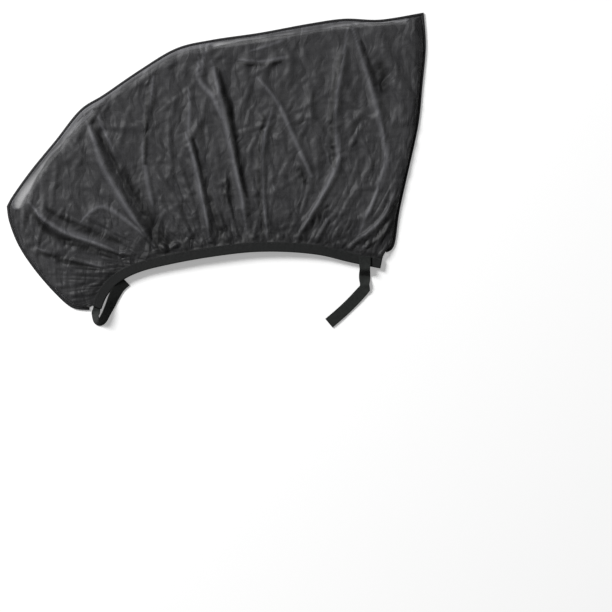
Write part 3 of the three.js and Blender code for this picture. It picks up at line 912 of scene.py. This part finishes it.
def loop_tape():
    """Hook-and-loop tape in black nylon: a matt pile of tiny loops with flat woven edges."""
    material, tree = new_material("nylon_loop_tape")
    place = add_node(tree, "ShaderNodeUVMap")
    # Loops about 1 mm across
    pile = add_node(tree, "ShaderNodeTexVoronoi", {
        "Vector": place.outputs[0], "Scale": 1 / (1.0 * MM),
    }, voronoi_dimensions="2D")
    matting = add_node(tree, "ShaderNodeTexNoise", {
        "Vector": place.outputs[0], "Scale": 180.0, "Detail": 3.0,
    }, noise_dimensions="2D")
    tint = add_node(tree, "ShaderNodeMix", {
        "Factor": matting.outputs["Fac"], "A": linear("171918"), "B": linear("2a2d2b"),
    }, data_type="RGBA")
    bump = add_node(tree, "ShaderNodeBump", {
        "Height": pile.outputs["Distance"], "Strength": 0.6, "Distance": 0.3 * MM,
    })
    shader = add_node(tree, "ShaderNodeBsdfPrincipled", {
        "Base Color": tint.outputs["Result"],
        "Roughness": 0.9,
        "Specular IOR Level": 0.25,
        "Sheen Weight": 0.08,
        "Sheen Roughness": 0.6,
        "Normal": bump.outputs[0],
    })
    add_node(tree, "ShaderNodeOutputMaterial", {"Surface": shader.outputs[0]})
    return material


def sewing_thread(name, code, pitch):
    """Spun polyester thread, black and a little glossy, laid side by side over the edge."""
    material, tree = new_material(name)
    place = add_node(tree, "ShaderNodeUVMap")
    wraps = add_node(tree, "ShaderNodeTexWave", {
        "Vector": place.outputs[0], "Scale": 2 * math.pi / (20 * pitch),
        "Distortion": 1.0, "Detail Scale": 30.0,
    }, bands_direction="DIAGONAL")
    bump = add_node(tree, "ShaderNodeBump", {
        "Height": wraps.outputs["Fac"], "Strength": 0.6, "Distance": 0.3 * MM,
    })
    shader = add_node(tree, "ShaderNodeBsdfPrincipled", {
        "Base Color": linear(code),
        "Roughness": 0.6,
        "Specular IOR Level": 0.4,
        "Sheen Weight": 0.1,
        "Sheen Roughness": 0.4,
        "Normal": bump.outputs[0],
    })
    add_node(tree, "ShaderNodeOutputMaterial", {"Surface": shader.outputs[0]})
    return material


# The shade

mesh_cloth = knitted_mesh()
elastic_web = ribbed_elastic()
tape = loop_tape()
overlock = sewing_thread("overlocked_polyester_thread", "18181a", 1.5 * MM)
stitch_thread = sewing_thread("polyester_sewing_thread", "1f2021", 0.8 * MM)

front_mesh = front_panel()
finish_piece(front_mesh, mesh_cloth, "mesh_cloth", "front_panel")
back_mesh = back_panel()
finish_piece(back_mesh, mesh_cloth, "mesh_cloth", "back_panel")
finish_piece(rim_overlock(), overlock, "seam_thread", "rim_seam")
front_band_piece = elastic_band("front_band", FRONT_BAND_LEVEL, lift, 3, True)
finish_piece(front_band_piece, elastic_web, "elastic_web", "front_elastic")
back_band_piece = elastic_band("back_band", 0.0, np.zeros_like, 4, False)
finish_piece(back_band_piece, elastic_web, "elastic_web", "back_elastic")
finish_piece(tie_right(), tape, "hook_and_loop", "strap_right")
finish_piece(tie_left(), tape, "hook_and_loop", "strap_left")
band_zigzag = zigzag("band_zigzag", FRONT_BAND_LEVEL + BAND_HEIGHT, lift, 2.5 * MM)
finish_piece(band_zigzag, stitch_thread, "seam_thread")
finish_piece(box_stitch(), stitch_thread, "seam_thread")


# Floor and light

FLOOR_GLOW = 0.32
FLOOR_GAP = 0.0005


def floor():
    """Matt white board, a little brighter where it is seen directly, so that it shows as plain white."""
    material, tree = new_material("matt_white_board")
    path = add_node(tree, "ShaderNodeLightPath")
    seen = add_node(tree, "ShaderNodeMath", {
        0: path.outputs["Is Camera Ray"], 1: path.outputs["Is Glossy Ray"],
    }, operation="ADD")
    shown = add_node(tree, "ShaderNodeMath", {
        0: seen.outputs[0], 1: path.outputs["Is Transmission Ray"],
    }, operation="ADD")
    boost = add_node(tree, "ShaderNodeMath", {0: shown.outputs[0], 1: FLOOR_GLOW}, operation="MULTIPLY")
    shader = add_node(tree, "ShaderNodeBsdfPrincipled", {
        "Base Color": (0.92, 0.92, 0.92, 1),
        "Roughness": 0.9,
        "Specular IOR Level": 0.0,
        "Emission Color": (1, 1, 1, 1),
        "Emission Strength": boost.outputs[0],
    })
    add_node(tree, "ShaderNodeOutputMaterial", {"Surface": shader.outputs[0]})
    bpy.ops.object.select_all(action="DESELECT")
    bpy.ops.mesh.primitive_plane_add(size=30, location=(0, 0, GROUND - FLOOR_GAP))
    board = bpy.context.object
    board.name = "floor"
    board.data.materials.append(material)


def light(name, place, size, power):
    data = bpy.data.lights.new(name, "AREA")
    data.shape = "SQUARE"
    data.size = size
    data.energy = power
    lamp = bpy.data.objects.new(name, data)
    lamp.location = place
    lamp.rotation_euler = (-lamp.location).to_track_quat("-Z", "Y").to_euler()
    bpy.context.scene.collection.objects.link(lamp)


floor()
light("key", (-5.0, 4.2, 4.2), 2.6, 840)
world = bpy.data.worlds.new("studio")
world.use_nodes = True
world.node_tree.nodes["Background"].inputs["Color"].default_value = (1, 1, 1, 1)
world.node_tree.nodes["Background"].inputs["Strength"].default_value = 0.1
bpy.context.scene.world = world
bpy.context.scene.view_settings.view_transform = "Standard"
